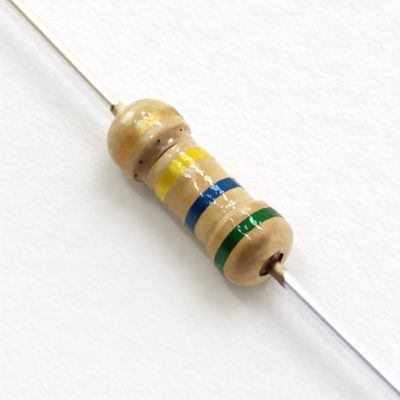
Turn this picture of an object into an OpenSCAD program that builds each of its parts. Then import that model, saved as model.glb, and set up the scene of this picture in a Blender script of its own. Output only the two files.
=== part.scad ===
// Axial carbon-film resistor with a dipped, dog-bone body and two bent wire leads.
// It lies on its side: X runs along the body towards the first colour band, Z is up, and the origin is on
// the floor under the middle of the body. Millimetres.

/* [Ceramic core] */
// Diameter of the ceramic rod
core_diameter = 2.2; // [1.8:0.02:2.8]
// Length of the ceramic rod
core_length = 7.7; // [6.4:0.1:9.4]
// Chamfer on the ends of the rod
core_chamfer = 0.1; // [0.05:0.01:0.2]

/* [Carbon film] */
// Thickness of the resistive film
film_thickness = 0.03; // [0.02:0.005:0.05]
// Width of the helical trimming groove
groove_width = 0.13; // [0.08:0.01:0.2]
// Distance from one turn of the groove to the next
groove_pitch = 0.46; // [0.35:0.01:0.6]
// Whole turns of the groove
groove_turns = 9; // [4:1:9]

/* [End caps] */
// Wall of the pressed cap
cap_wall = 0.2; // [0.14:0.01:0.26]
// Depth of the cap over the rod, inside
cap_depth = 1.3; // [1.05:0.05:1.6]
// Outer rounding where the face of the cap turns into its wall
cap_corner_radius = 0.28; // [0.15:0.01:0.4]
// How far the mouth of the cap opens outwards
cap_mouth_flare = 0.04; // [0.02:0.01:0.06]

/* [Coat] */
// Thickness of the lacquer over the walls of the caps, at the crown of a bulge
coat_on_caps = 0.31; // [0.25:0.01:0.4]
// Thickness of the lacquer over the film, at the waist
coat_on_film = 0.195; // [0.12:0.005:0.25]
// Thickness of the lacquer over the faces of the caps
coat_on_faces = 0.45; // [0.35:0.01:0.6]
// Lacquer past the mouth of the front cap, up to the middle of the shoulder
front_shoulder_cover = 0.25; // [0.2:0.01:0.4]
// Lacquer past the mouth of the rear cap, up to the middle of the shoulder
rear_shoulder_cover = 0.45; // [0.2:0.01:0.6]
// Rounding of the front end
front_end_radius = 0.88; // [0.6:0.02:1.1]
// Rounding of the rear end
rear_end_radius = 1.34; // [0.9:0.02:1.36]
// Rounding of the shoulder at the front bulge
front_shoulder_radius = 0.25; // [0.2:0.01:0.35]
// Fillet where the front shoulder runs out on the waist
front_waist_fillet = 0.2; // [0.15:0.01:0.35]
// Rounding of the crisper shoulder at the rear bulge
rear_shoulder_radius = 0.14; // [0.1:0.01:0.3]
// Fillet where the rear shoulder runs out on the waist
rear_waist_fillet = 0.31; // [0.2:0.01:0.35]
// Radius of the slight crown along each bulge
crown_radius = 8; // [6:0.5:30]

/* [Edge of the second dip] */
// Distance from the middle of the rear shoulder to the groove where the second dip of lacquer ends
dip_distance = 0.54; // [0.5:0.01:0.7]
// Width of that groove
dip_groove_width = 0.1; // [0.06:0.01:0.16]
// Depth of that groove
dip_groove_depth = 0.03; // [0.02:0.005:0.05]
// Width of the ridge beside it
dip_ridge_width = 0.2; // [0.12:0.01:0.3]
// Height of that ridge
dip_ridge_height = 0.02; // [0.01:0.005:0.04]

/* [Leads] */
// Diameter of the wire
lead_diameter = 0.55; // [0.45:0.01:0.65]
// Length of each lead, from the end of the body along the wire
lead_length = 28; // [20:0.5:38]
// Distance from the end of the body to the bend in the front lead
front_bend_distance = 1.6; // [1.4:0.1:6]
// How far the front bend leans from straight down towards +Y
front_bend_lean = 36; // [0:1:45]
// Radius of the front bend, to the middle of the wire
front_bend_radius = 12; // [3:1:14]
// Distance from the end of the body to the first, sideways bend in the rear lead
rear_kink_distance = 1; // [0.8:0.1:3]
// Sideways angle of that first bend, towards +Y
rear_kink_angle = 0.6; // [0:0.1:2]
// Distance from the end of the body to the second, downward bend in the rear lead
rear_bend_distance = 9.5; // [7:0.5:12]
// How far the rear bend leans from straight down towards +Y
rear_bend_lean = 20; // [0:1:45]
// Radius of the rear bends, to the middle of the wire
rear_bend_radius = 40; // [10:5:60]
// Diameter of the weld bead at the foot of a lead
weld_diameter = 0.95; // [0.8:0.05:1.1]
// Height of the weld bead
weld_height = 0.16; // [0.1:0.01:0.2]
// How much the radius of the wire thins in a bend
bend_thinning = 0.001; // [0.001:0.001:0.004]
// Chamfer that the cutter leaves on the tip of a lead
tip_chamfer = 0.06; // [0.02:0.01:0.12]

/* [Lacquer on the leads] */
// Thickness of the lacquer drawn out along a lead
sleeve_wall = 0.04; // [0.02:0.01:0.08]
// Length of the lacquer on the rear lead, from the end of the body
rear_sleeve_length = 0.62; // [0.3:0.02:1]
// Length of the lacquer left on the upper side of the front lead
front_sleeve_length = 0.3; // [0.1:0.02:0.5]
// Extra length of that lacquer on the underside of the front lead
front_sleeve_tail = 0.75; // [0:0.05:0.9]
// Fillet where the lacquer leaves the rear end for the lead
meniscus_radius = 0.3; // [0.1:0.02:0.4]

/* [Broken front end] */
// Radius of the hole broken in the lacquer round the front lead
chip_radius = 0.55; // [0.5:0.01:0.65]
// How far the hole widens from the cap out to the surface
chip_flare = 0.1; // [0:0.01:0.15]
// How far the lobes of the hole lie off the lead
chip_spread = 0.18; // [0:0.01:0.2]
// Width of the tongue of lacquer left across the hole
tongue_width = 0.26; // [0.15:0.01:0.4]
// Height of that tongue, from the face of the cap
tongue_height = 0.36; // [0.25:0.01:0.42]

/* [Colour bands] */
// Thickness of the painted bands
paint_thickness = 0.02; // [0.01:0.005:0.04]
// Middle of the green band, from the crown of the front bulge towards the waist
green_offset = 0.205; // [0:0.005:0.3]
// Width of the green band
green_width = 0.55; // [0.3:0.01:0.65]
// Front edge of the blue band, from the front shoulder
blue_distance = 0.89; // [0.5:0.01:1.1]
// Width of the blue band
blue_width = 0.58; // [0.3:0.01:0.7]
// Rear edge of the yellow band, from the rear shoulder
yellow_distance = 1.12; // [0.5:0.01:1.2]
// Width of the yellow band
yellow_width = 0.58; // [0.3:0.01:0.7]
// Middle of the gold band, from the crown of the rear bulge towards the waist
gold_offset = 0.46; // [0:0.01:0.5]
// Width of the gold band
gold_width = 0.45; // [0.3:0.01:0.6]

/* [Hidden] */
$fn = 120;

// Cutters run this much past what they cut
CLEAR = 1;

// The film lies on the rod, the caps are pressed over the film, the leads are welded on the caps
core_radius = core_diameter / 2;
film_radius = core_radius + film_thickness;
cap_radius = film_radius + cap_wall;
cap_face = core_length / 2 + cap_wall;
cap_length = cap_depth + cap_wall;
cap_mouth = cap_face - cap_length;
mouth_radius = cap_radius + cap_mouth_flare;
mouth_length = 3 * cap_mouth_flare;
lead_radius = lead_diameter / 2;
sleeve_radius = lead_radius + sleeve_wall;

// The coat follows what it covers, and the body rests on the paint of the bands over its two bulges
bulge_radius = cap_radius + coat_on_caps;
waist_radius = film_radius + coat_on_film;
half_body = cap_face + coat_on_faces;
front_shoulder = cap_mouth - front_shoulder_cover;
rear_shoulder = cap_mouth - rear_shoulder_cover;
front_bulge_length = half_body - front_shoulder;
rear_bulge_length = half_body - rear_shoulder;
axis_height = bulge_radius + paint_thickness;
dip_groove = dip_distance - rear_shoulder;
dip_ridge = dip_groove - (dip_groove_width + dip_ridge_width) / 2;

// A lead drops from the axis of the body until its tip touches the floor
lead_drop = axis_height - lead_radius;
front_outer = lead_length - front_bend_distance;
front_bend_angle = asin(lead_drop / cos(front_bend_lean) / front_outer);
front_tangent = front_bend_radius * tan(front_bend_angle / 2);
rear_outer = lead_length - rear_bend_distance;
rear_bend_angle = asin(lead_drop / cos(rear_bend_lean) / rear_outer);
rear_tangent = rear_bend_radius * tan(rear_bend_angle / 2);
rear_kink_tangent = rear_bend_radius * tan(rear_kink_angle / 2);

// The groove is centred between the mouths of the caps
groove_length = groove_turns * groove_pitch;
groove_steps_per_turn = 24;
groove_overcut = 0.04;

// Neighbouring stretches of a wire reach into each other by this much
wire_overlap = 0.05;

// Directions round the axis are in degrees from straight down towards +Y
SIDEWAYS = 90;
TONGUE = 158;

// The lobes of the hole round the front lead: direction, distance from the lead and radius
chip_lobes = [
    [200, chip_spread, chip_radius],
    [295, chip_spread / 2, 0.94 * chip_radius],
    [100, chip_spread / 2, 0.97 * chip_radius]
];

// ---------------------------------------------------------------- frames

// Stands what is drawn about Z on the axis of the body, pointing out of the front (side 1) or rear (side -1)
// end, with the drawing's X towards the floor and its Y sideways
module along_body(side = 1) {
    translate([0, 0, axis_height])
        rotate([0, 90, 0])
            mirror([0, 0, side < 0 ? 1 : 0])
                children();
}

// ---------------------------------------------------------------- outline of the coat

// Centre of a rounding of the given radius that touches the crown from inside at height y
function crown_touch(radius, y, crown_y) =
    let (reach = crown_radius - radius)
    [bulge_radius - crown_radius + sqrt(reach * reach - (y - crown_y) * (y - crown_y)), y];

// Half outline of one bulge, radius across and distance from the end of the body upwards: an end rounding,
// a crown, a shoulder and a waist fillet, each arc tangent to the next. grow moves it outwards.
module bulge_outline(length, end_radius, shoulder_radius, waist_fillet, grow) {
    crown_y = length / 2;
    bend = shoulder_radius + waist_fillet;
    share = shoulder_radius / bend;
    first_try = crown_touch(shoulder_radius, length - shoulder_radius, crown_y);
    lean = waist_radius + waist_fillet - first_try.x;
    end_centre = crown_touch(end_radius, end_radius, crown_y);
    shoulder = crown_touch(shoulder_radius, length - share * sqrt(bend * bend - lean * lean), crown_y);
    run_out = shoulder.y + sqrt(bend * bend - pow(waist_radius + waist_fillet - shoulder.x, 2));
    fillet = [waist_radius + waist_fillet, run_out];
    crown = [bulge_radius - crown_radius, crown_y];
    intersection() {
        translate([0, -CLEAR]) square([2 * bulge_radius, length + 2 * CLEAR]);
        difference() {
            union() {
                polygon([[0, -grow], [end_centre.x, -grow], end_centre, shoulder, fillet, [0, run_out]]);
                translate(end_centre) circle(end_radius + grow);
                translate(shoulder) circle(shoulder_radius + grow);
                intersection() {
                    translate(crown) circle(crown_radius + grow);
                    polygon([crown, crown + 2 * (end_centre - crown), crown + 2 * (shoulder - crown)]);
                }
            }
            translate(fillet) circle(waist_fillet - grow);
        }
    }
}

// Radius of the circle that a shallow groove or ridge of this width and height is cut from
function shallow_arc(width, height) = (width * width / 4 + height * height) / (2 * height);

// Half outline of the whole coated body
module body_outline(grow = 0) {
    groove_arc = shallow_arc(dip_groove_width, dip_groove_depth);
    ridge_arc = shallow_arc(dip_ridge_width, dip_ridge_height);
    translate([0, -half_body])
        bulge_outline(rear_bulge_length, rear_end_radius, rear_shoulder_radius, rear_waist_fillet, grow);
    translate([0, half_body]) mirror([0, 1])
        bulge_outline(front_bulge_length, front_end_radius, front_shoulder_radius, front_waist_fillet, grow);
    difference() {
        union() {
            translate([0, -rear_shoulder])
                square([waist_radius + grow, rear_shoulder + front_shoulder]);
            translate([waist_radius + dip_ridge_height - ridge_arc, dip_ridge])
                circle(ridge_arc + grow);
        }
        translate([waist_radius - dip_groove_depth + groove_arc, dip_groove])
            circle(groove_arc - grow);
    }
}

// ---------------------------------------------------------------- inner pieces

module ceramic_core() {
    color("white")
        along_body()
            rotate_extrude()
                polygon([
                    [0, -core_length / 2],
                    [core_radius - core_chamfer, -core_length / 2],
                    [core_radius, core_chamfer - core_length / 2],
                    [core_radius, core_length / 2 - core_chamfer],
                    [core_radius - core_chamfer, core_length / 2],
                    [0, core_length / 2]
                ]);
}

// One cross-section of the groove cutter, at the given angle along the helix
function groove_ring(angle) =
    let (
        height = groove_pitch * angle / 360 - groove_length / 2,
        inside = core_radius - groove_overcut,
        outside = film_radius + groove_overcut
    )
    [for (corner = [[inside, -1], [outside, -1], [outside, 1], [inside, 1]])
        [corner[0] * cos(angle), corner[0] * sin(angle), height + corner[1] * groove_width / 2]];

// The helix that the trimming wheel cuts: square sections swept round the rod
module groove_cutter() {
    steps = groove_turns * groove_steps_per_turn;
    rings = [for (i = [0:steps]) groove_ring(360 * i / groove_steps_per_turn)];
    sides = [for (i = [0:steps - 1], k = [0:3])
        let (a = 4 * i + k, b = 4 * i + (k + 1) % 4)
        each [[a, b + 4, a + 4], [a, b, b + 4]]];
    last = 4 * steps;
    polyhedron(
        points = [for (ring = rings) each ring],
        faces = concat(sides, [[3, 2, 1, 0], [last, last + 1, last + 2, last + 3]]),
        convexity = 10
    );
}

module carbon_film() {
    film_length = core_length - 2 * core_chamfer;
    color("dimgray")
        along_body()
            difference() {
                translate([0, 0, -film_length / 2]) cylinder(h = film_length, r = film_radius);
                translate([0, 0, -film_length]) cylinder(h = 2 * film_length, r = core_radius);
                groove_cutter();
            }
}

// Half outline of a cap, drawn down from its face, with the cavity filled if it is solid
module cap_outline(solid) {
    corner = cap_radius - cap_corner_radius;
    difference() {
        union() {
            translate([0, -cap_length]) square([cap_radius, cap_length - cap_corner_radius]);
            translate([0, -2 * cap_corner_radius]) square([corner, 2 * cap_corner_radius]);
            translate([corner, -cap_corner_radius]) circle(cap_corner_radius);
            polygon([
                [film_radius, -cap_length],
                [mouth_radius, -cap_length],
                [cap_radius, mouth_length - cap_length],
                [film_radius, mouth_length - cap_length]
            ]);
        }
        if (!solid)
            translate([0, -cap_length - CLEAR]) square([film_radius, cap_depth + CLEAR]);
    }
}

// A cap in its place on the end of the rod
module end_cap(side, solid = false) {
    along_body(side)
        translate([0, 0, cap_face])
            rotate_extrude() cap_outline(solid);
}

module end_cap_front() {
    color("silver") end_cap(1);
}

module end_cap_rear() {
    color("silver") end_cap(-1);
}

// ---------------------------------------------------------------- leads

// A bend in the wire, from straight up towards +X
module wire_bend(radius, angle) {
    translate([radius, 0, 0])
        rotate([90, 0, 180])
            rotate_extrude(angle = angle)
                translate([radius, 0]) circle(lead_radius - bend_thinning);
}

// A wire drawn upwards stretch by stretch. Each stretch is [straight length, radius of the bend after it,
// angle of that bend, direction of that bend]; the last one is the straight length up to the tip
module wire(stretches, i = 0) {
    straight = stretches[i][0];
    foot = i > 0 ? wire_overlap : 0;
    if (i == len(stretches) - 1) {
        translate([0, 0, -foot]) cylinder(h = foot + straight - tip_chamfer, r = lead_radius);
        translate([0, 0, straight - tip_chamfer])
            cylinder(h = tip_chamfer, r1 = lead_radius, r2 = lead_radius - tip_chamfer);
    } else {
        radius = stretches[i][1];
        angle = stretches[i][2];
        direction = stretches[i][3];
        translate([0, 0, -foot]) cylinder(h = foot + straight + wire_overlap, r = lead_radius);
        translate([0, 0, straight]) rotate([0, 0, direction]) {
            wire_bend(radius, angle);
            translate([radius, 0, 0]) rotate([0, angle, 0]) translate([-radius, 0, 0])
                rotate([0, 0, -direction]) wire(stretches, i + 1);
        }
    }
}

// The bead that welds a lead to its cap: a collar that sweeps up to the wire
module weld_bead() {
    sweep = weld_diameter / 2 - lead_radius;
    rim = weld_height / 4;
    translate([0, 0, cap_face])
        rotate_extrude()
            difference() {
                square([weld_diameter / 2, weld_height]);
                translate([lead_radius + sweep, rim + sweep]) circle(sweep);
            }
}

// What the coat has to leave free for a lead: its first straight stretch and its weld bead
module lead_foot(length) {
    weld_bead();
    translate([0, 0, cap_face]) cylinder(h = coat_on_faces + length, r = lead_radius);
}

module lead_front() {
    color("gainsboro")
        along_body(1) {
            weld_bead();
            translate([0, 0, cap_face])
                wire([
                    [coat_on_faces + front_bend_distance - front_tangent, front_bend_radius,
                        front_bend_angle, front_bend_lean],
                    [front_outer - front_tangent]
                ]);
        }
}

module lead_rear() {
    between_bends = rear_bend_distance - rear_kink_distance - rear_kink_tangent - rear_tangent;
    color("gainsboro")
        along_body(-1) {
            weld_bead();
            translate([0, 0, cap_face])
                wire([
                    [coat_on_faces + rear_kink_distance - rear_kink_tangent, rear_bend_radius,
                        rear_kink_angle, SIDEWAYS],
                    [between_bends, rear_bend_radius, rear_bend_angle, rear_bend_lean],
                    [rear_outer - rear_tangent]
                ]);
        }
}

// ---------------------------------------------------------------- coat

// Lacquer drawn out along the rear lead, with a fillet that touches both it and the rounding of the end
module rear_sleeve() {
    end_x = crown_touch(rear_end_radius, rear_end_radius, rear_bulge_length / 2).x;
    fillet_x = sleeve_radius + meniscus_radius;
    fillet_y = sqrt(pow(rear_end_radius + meniscus_radius, 2) - pow(fillet_x - end_x, 2));
    tip = rear_end_radius + rear_sleeve_length - sleeve_wall;
    along_body(-1)
        translate([0, 0, half_body - rear_end_radius])
            rotate_extrude()
                difference() {
                    union() {
                        square([sleeve_radius, tip]);
                        translate([lead_radius, tip]) circle(sleeve_wall);
                        polygon([[0, 0], [end_x, 0], [fillet_x, fillet_y], [0, fillet_y]]);
                    }
                    translate([fillet_x, fillet_y]) circle(meniscus_radius);
                }
}

// Lacquer left on the front lead, cut off on the slant so that it runs on along the underside
module front_sleeve() {
    long = coat_on_faces + front_sleeve_length + front_sleeve_tail;
    slant = atan(front_sleeve_tail / lead_diameter);
    along_body(1)
        difference() {
            translate([0, 0, cap_face]) cylinder(h = long, r = sleeve_radius);
            translate([-lead_radius, 0, half_body + front_sleeve_length])
                rotate([0, -slant, 0])
                    translate([-2 * long, -long, 0]) cube([4 * long, 2 * long, 2 * long]);
        }
}

// The hole broken through the coat round the front lead, down to the face of the cap: ragged lobes, less
// the tongue of lacquer that still crosses it to the lead
module front_chip() {
    height = coat_on_faces + CLEAR;
    flare = chip_flare * height / coat_on_faces;
    along_body(1)
        translate([0, 0, cap_face])
            difference() {
                for (lobe = chip_lobes)
                    rotate([0, 0, lobe[0]])
                        translate([lobe[1], 0, 0])
                            cylinder(h = height, r1 = lobe[2], r2 = lobe[2] + flare);
                rotate([0, 0, TONGUE])
                    translate([0, -tongue_width / 2, 0])
                        cube([2 * chip_radius, tongue_width, tongue_height]);
            }
}

module lacquer_coat() {
    color("burlywood")
        difference() {
            union() {
                difference() {
                    along_body() rotate_extrude() body_outline();
                    front_chip();
                }
                rear_sleeve();
                front_sleeve();
            }
            along_body() cylinder(h = core_length, r = film_radius, center = true);
            for (side = [1, -1]) {
                end_cap(side, solid = true);
                along_body(side) lead_foot(CLEAR + (side > 0 ? front_sleeve_length + front_sleeve_tail
                                                             : rear_sleeve_length));
            }
        }
}

// ---------------------------------------------------------------- colour bands

// A ring of paint on the coat, from its front edge towards the rear
module band(front_edge, width) {
    along_body()
        rotate_extrude()
            intersection() {
                difference() {
                    body_outline(paint_thickness);
                    body_outline();
                }
                translate([0, front_edge - width]) square([2 * bulge_radius, width]);
            }
}

module band_green() {
    color("seagreen") band(half_body - front_bulge_length / 2 - green_offset + green_width / 2, green_width);
}

module band_blue() {
    color("mediumblue") band(front_shoulder - blue_distance, blue_width);
}

module band_yellow() {
    color("gold") band(yellow_distance + yellow_width - rear_shoulder, yellow_width);
}

module band_gold() {
    color("darkgoldenrod") band(rear_bulge_length / 2 - half_body + gold_offset + gold_width / 2, gold_width);
}

ceramic_core();
carbon_film();
end_cap_front();
end_cap_rear();
lead_front();
lead_rear();
lacquer_coat();
band_green();
band_blue();
band_yellow();
band_gold();
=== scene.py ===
from collections import Counter
import math

import bmesh
import bpy
from mathutils import Matrix, Vector

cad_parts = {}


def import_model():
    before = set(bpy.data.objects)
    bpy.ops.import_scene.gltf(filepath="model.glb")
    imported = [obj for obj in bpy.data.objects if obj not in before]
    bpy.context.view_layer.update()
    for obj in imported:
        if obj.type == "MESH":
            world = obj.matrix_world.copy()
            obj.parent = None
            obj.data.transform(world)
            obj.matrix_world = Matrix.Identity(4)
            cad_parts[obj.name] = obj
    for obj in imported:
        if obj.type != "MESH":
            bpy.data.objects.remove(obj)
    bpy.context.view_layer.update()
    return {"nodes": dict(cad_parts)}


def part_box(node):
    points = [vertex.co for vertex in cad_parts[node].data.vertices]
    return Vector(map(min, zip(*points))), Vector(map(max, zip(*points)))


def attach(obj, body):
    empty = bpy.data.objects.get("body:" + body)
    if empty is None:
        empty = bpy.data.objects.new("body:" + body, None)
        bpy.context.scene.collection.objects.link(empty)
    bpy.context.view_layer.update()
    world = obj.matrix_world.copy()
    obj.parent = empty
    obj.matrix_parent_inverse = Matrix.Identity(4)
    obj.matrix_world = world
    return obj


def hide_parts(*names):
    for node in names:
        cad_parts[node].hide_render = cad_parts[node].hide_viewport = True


# An axial resistor: a dipped coat with four painted bands on two tinned wires, lying on a pale floor

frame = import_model()
NODES = frame["nodes"]

# Pieces are drawn in millimetres and brought to metres when they are finished
MM = 0.001


def node_box(name):
    """The two corners of a CAD node, in millimetres."""
    return [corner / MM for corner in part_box(name)]


def band_edges(name):
    """Rear edge and front edge of a band, in millimetres along the body."""
    low, high = node_box(name)
    return low.x, high.x


# ---------------------------------------------------------------- sizes of the body, in millimetres

CORE_LOW, CORE_HIGH = node_box("ceramic_core")
CAP_LOW, CAP_HIGH = node_box("end_cap_front")
COAT_LOW, COAT_HIGH = node_box("lacquer_coat")
PAINT = 0.02
PAINT_SUNK = 0.005
AXIS = (CORE_LOW.z + CORE_HIGH.z) / 2
CAP_FACE = CAP_HIGH.x
CAP_MOUTH = CAP_LOW.x
CAP_RADIUS = 1.33
CAP_CORNER = 0.28
FILM_RADIUS = 1.13
LEAD_RADIUS = 0.275
HALF_BODY = CAP_FACE + 0.45
BULGE_RADIUS = (COAT_HIGH.y - COAT_LOW.y) / 2
WAIST_RADIUS = 1.325
CROWN_RADIUS = 8.0

# The bulges: length, rounding of the end, rounding of the shoulder, fillet on the waist
REAR_BULGE = (2.4, 1.34, 0.14, 0.31)
FRONT_BULGE = (2.2, 0.88, 0.25, 0.2)

# Lacquer on the leads: its thickness, the fillet and the length past the body at the rear; at the front,
# its shortest and longest reach, the turn where it is shortest, and the foot of resin in the hole
SLEEVE_WALL = 0.04
SLEEVE_FILLET = 0.3
REAR_SLEEVE = 0.62
FEATHER = 0.008
FRONT_SLEEVE = (5.1, 5.65)
SHORT_TURN = 70
FOOT_RADIUS = 0.62
FOOT_HEIGHT = 4.34
FOOT_FILLET = 0.12

# Low swells and hollows round the waist: place, half length and height
SWELLS = [(-1.71, 0.1, 0.02), (-1.56, 0.05, -0.035), (-1.25, 0.22, -0.045), (1.35, 0.75, 0.03),
          (2.02, 0.14, 0.02)]

# The hole round the front lead: direction, distance from the lead and radius of each of its lobes; and the
# tongue left across it: its direction, and its height, width and reach
CHIP = [(200, 0.22, 0.56), (295, 0.09, 0.52), (100, 0.09, 0.53), (15, 0.1, 0.55)]
TONGUE_TURN = 158
TONGUE_SIZE = (0.44, 0.26, 0.5)

# Resin specks on the rear shoulder: place along the body, turn round it and radius. Each is sunk in the
# coat by this share of its radius
SPECKS = [(-2.03, -9, 0.055), (-2.03, -57, 0.07), (-2.06, -92, 0.05), (-2.01, 41, 0.04), (-2.02, 55, 0.03)]
SPECK_SUNK = 0.4

# A strip of paint is this much wider on each side than its CAD band, so that its edges can fade
BAND_MARGINS = {"green": 0.0, "blue": 0.0, "yellow": 0.05, "gold": 0.07}

# How finely the pieces are drawn: length of a step along an outline, and steps in a full turn
OUTLINE_STEP = 0.055
ROUND_STEPS = 180

# Corners nearer than this are one corner: on a spun piece, and where a cut has left slivers
SAME_CORNER = 0.0005
SLIVER = 0.003
SLIVER_EDGE = 0.002

# A corner this near to a surface counts as on it, and a hair's breadth for pieces that meet
ON_SURFACE = 0.005
HAIR = 0.01

# Edges that turn by less than this many degrees are shaded smooth
SMOOTH_ANGLE = 35


# ---------------------------------------------------------------- small helpers

def nothing_selected():
    """Leaves edit mode and deselects every object."""
    if bpy.context.object and bpy.context.object.mode != "OBJECT":
        bpy.ops.object.mode_set(mode="OBJECT")
    bpy.ops.object.select_all(action="DESELECT")


def only(piece):
    """Makes one object the selected and active one."""
    nothing_selected()
    piece.select_set(True)
    bpy.context.view_layer.objects.active = piece


def edit(piece, kind="VERT"):
    """Enters edit mode on one object, with nothing selected, and gives its editable mesh."""
    only(piece)
    bpy.ops.object.mode_set(mode="EDIT")
    bpy.ops.mesh.select_mode(type=kind)
    bpy.ops.mesh.select_all(action="DESELECT")
    return bmesh.from_edit_mesh(piece.data)


def edit_all(piece):
    """Enters edit mode on one object with all of it selected."""
    edit(piece)
    bpy.ops.mesh.select_all(action="SELECT")


def pick(mesh, wanted):
    """Selects the vertices that the test wants."""
    bpy.ops.mesh.select_all(action="DESELECT")
    for vertex in mesh.verts:
        vertex.select = wanted(vertex)
    mesh.select_flush(True)


def object_mode():
    """Leaves edit mode."""
    bpy.ops.object.mode_set(mode="OBJECT")


def named(name):
    """Names the object that an operator has just added, and its mesh."""
    piece = bpy.context.object
    piece.name = name
    piece.data.name = name
    return piece


def modify(piece, kind, **settings):
    """Adds a modifier with these settings and applies it."""
    only(piece)
    modifier = piece.modifiers.new(kind.lower(), kind)
    for key, value in settings.items():
        setattr(modifier, key, value)
    bpy.ops.object.modifier_apply(modifier=modifier.name)


def copy_of(piece, name):
    """A copy of an object with its own mesh."""
    twin = piece.copy()
    twin.data = piece.data.copy()
    twin.name = name
    twin.data.name = name
    bpy.context.scene.collection.objects.link(twin)
    return twin


def joined(pieces, name):
    """Joins objects into the first one."""
    nothing_selected()
    for piece in pieces:
        piece.select_set(True)
    bpy.context.view_layer.objects.active = pieces[0]
    bpy.ops.object.join()
    return named(name)


def cut(piece, cutter):
    """Cuts one object with another and removes the other."""
    modify(piece, "BOOLEAN", object=cutter, operation="DIFFERENCE", solver="EXACT")
    bpy.data.objects.remove(cutter)


def without(piece, unwanted):
    """Deletes the faces that the test finds."""
    mesh = edit(piece, "FACE")
    found = [face for face in mesh.faces if unwanted(face)]
    for face in found:
        face.select = True
    bpy.ops.mesh.delete(type="FACE")
    object_mode()


def corner_set(face):
    """The corners of a face, whichever way round they run."""
    return frozenset(corner.index for corner in face.verts)


def is_flap(face):
    """True for a face that hangs on a closed mesh by one side and is free at another."""
    sides = [len(side.link_faces) for side in face.edges]
    return max(sides) > 2 and 1 in sides


def healed(piece, wanted):
    """Merges what a cut has left almost touching, drops doubled faces and flaps, and closes the slits."""
    edit_all(piece)
    # A cut leaves its corners in another order each time, and merging follows that order
    bpy.ops.mesh.sort_elements(type="CURSOR_DISTANCE", elements={"VERT", "EDGE", "FACE"})
    pick(bmesh.from_edit_mesh(piece.data), wanted)
    bpy.ops.mesh.remove_doubles(threshold=SLIVER)
    pick(bmesh.from_edit_mesh(piece.data), wanted)
    bpy.ops.mesh.dissolve_degenerate(threshold=SLIVER_EDGE)
    pick(bmesh.from_edit_mesh(piece.data), wanted)
    bpy.ops.mesh.quads_convert_to_tris()
    times = Counter(corner_set(face) for face in bmesh.from_edit_mesh(piece.data).faces)
    object_mode()
    without(piece, lambda face: times[corner_set(face)] > 1)
    edit_all(piece)
    bpy.ops.mesh.fill_holes(sides=0)
    object_mode()
    without(piece, is_flap)
    edit_all(piece)
    bpy.ops.mesh.normals_make_consistent(inside=False)
    object_mode()


def grouped(piece, name, wanted, weight=1.0):
    """Puts the vertices that the test wants into a vertex group."""
    mesh = edit(piece)
    pick(mesh, wanted)
    bpy.context.scene.tool_settings.vertex_group_weight = weight
    if name in piece.vertex_groups:
        piece.vertex_groups.active = piece.vertex_groups[name]
        bpy.ops.object.vertex_group_assign()
    else:
        bpy.ops.object.vertex_group_assign_new()
        piece.vertex_groups.active.name = name
    object_mode()


def finished(piece, material):
    """Brings a piece from millimetres to metres, shades it and fastens it to the root body."""
    only(piece)
    bpy.ops.object.shade_smooth_by_angle(angle=math.radians(SMOOTH_ANGLE))
    piece.scale = (MM, MM, MM)
    bpy.ops.object.transform_apply(location=True, rotation=True, scale=True)
    piece.data.materials.clear()
    piece.data.materials.append(material)
    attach(piece, "root")


def clouds(name, size, depth=1):
    """A cloud texture for the Displace modifier, with features of the given size in millimetres."""
    texture = bpy.data.textures.new(name, "CLOUDS")
    texture.noise_scale = size
    texture.noise_depth = depth
    return texture


def out_from_axis(place):
    """Distance of a point from the axis of the body."""
    return math.hypot(place.y, place.z - AXIS)


def round_axis(turn, out, along=0.0):
    """The point this far out from the axis, turned this many degrees from straight up towards +Y."""
    turn = math.radians(turn)
    return Vector((along, out * math.sin(turn), AXIS + out * math.cos(turn)))


# ---------------------------------------------------------------- outline of the body

def arc(centre, radius, start, end):
    """Points along an arc in the (distance along the axis, radius) plane, from angle start to end."""
    steps = max(2, math.ceil(abs(end - start) * radius / OUTLINE_STEP))
    angles = [start + (end - start) * i / steps for i in range(steps + 1)]
    return [(centre[0] + radius * math.cos(a), centre[1] + radius * math.sin(a)) for a in angles]


def stretch(start, end):
    """Points along a straight stretch of the outline."""
    steps = max(1, math.ceil(math.dist(start, end) / OUTLINE_STEP))
    return [tuple(s + (e - s) * i / steps for s, e in zip(start, end)) for i in range(steps + 1)]


def direction(start, end):
    """Angle of the way from one point of the outline to another."""
    return math.atan2(end[1] - start[1], end[0] - start[0])


def touching(radius, along, crown):
    """Centre of a rounding of this radius that touches the crown from inside."""
    reach = CROWN_RADIUS - radius
    return (along, crown[1] + math.sqrt(reach ** 2 - (along - crown[0]) ** 2))


def drawn_out(end, end_radius):
    """Outline of the lacquer on the rear lead, up to the fillet that meets the rounding of the end."""
    foot_out = LEAD_RADIUS + SLEEVE_WALL + SLEEVE_FILLET
    reach = end_radius + SLEEVE_FILLET
    foot = (end[0] - math.sqrt(reach ** 2 - (foot_out - end[1]) ** 2), foot_out)
    points = stretch((-REAR_SLEEVE, LEAD_RADIUS), (-REAR_SLEEVE, LEAD_RADIUS + FEATHER))[:-1]
    points += stretch((-REAR_SLEEVE, LEAD_RADIUS + FEATHER), (foot[0], foot_out - SLEEVE_FILLET))[:-1]
    points += arc(foot, SLEEVE_FILLET, -math.pi / 2, direction(foot, end))[:-1]
    return points, direction(end, foot)


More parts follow.
